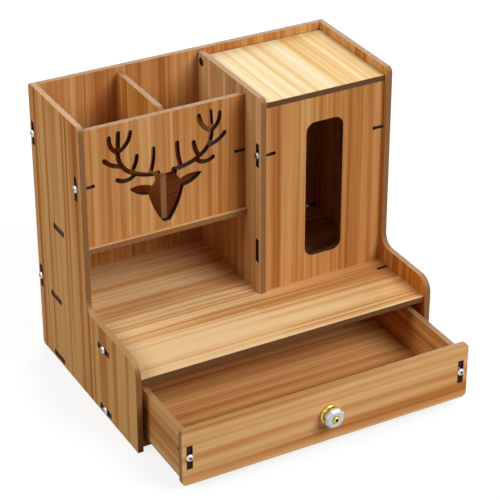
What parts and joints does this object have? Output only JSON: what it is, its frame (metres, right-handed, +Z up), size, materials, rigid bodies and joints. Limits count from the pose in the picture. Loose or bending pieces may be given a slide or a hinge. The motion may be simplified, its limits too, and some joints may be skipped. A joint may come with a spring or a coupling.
{
  "type": "desk organizer",
  "caption": "Wooden pen holder and desk organizer with a cut-out pen box, a lidded tissue box, an open desk and a wide drawer with a faceted knob.",
  "frame": {"origin": "centre of the bounding box, at the table", "axes": "+Z up, -Y towards the drawer's front, +X towards the tissue box"},
  "size_m": [0.3244, 0.3116, 0.29],
  "materials": {
    "side_wood": "satin",
    "front_wood": "satin",
    "shelf_wood": "satin",
    "lid_wood": "satin",
    "drawer_front_wood": "satin",
    "drawer_wood": "satin",
    "screw_steel": "polished",
    "knob_brass": "polished",
    "knob_clear": "clear"
  },
  "bodies": {
    "cabinet": {"left_side_panel": "side_wood", "right_side_panel": "side_wood", "back_panel": "front_wood", "base_board": "shelf_wood", "desk_board": "shelf_wood", "pen_box_floor": "shelf_wood", "pen_box_front": "front_wood", "pen_divider": "side_wood", "tissue_partition": "side_wood", "tissue_front": "front_wood", "left_panel_screws": "screw_steel", "right_panel_screws": "screw_steel", "partition_screws": "screw_steel"},
    "lid": {"tissue_lid": "lid_wood"},
    "drawer": {"drawer_front": "drawer_front_wood", "drawer_left_side": "drawer_wood", "drawer_right_side": "drawer_wood", "drawer_back": "drawer_wood", "drawer_bottom": "drawer_wood", "drawer_screws": "screw_steel", "knob_base": "knob_brass", "knob_crystal": "knob_clear", "knob_bolt": "knob_brass", "knob_nut": "knob_brass"}
  },
  "joints": [
    {"name": "drawer_slide", "type": "slide", "parent": "cabinet", "child": "drawer", "axis": [0, -1, 0], "range_m": [-0.078, 0.06]},
    {"name": "lid_hinge", "type": "hinge", "parent": "cabinet", "child": "lid", "pos_m": [0.088, 0.13975, 0.279], "axis": [-1, 0, 0], "range_deg": [0, 108]}
  ]
}
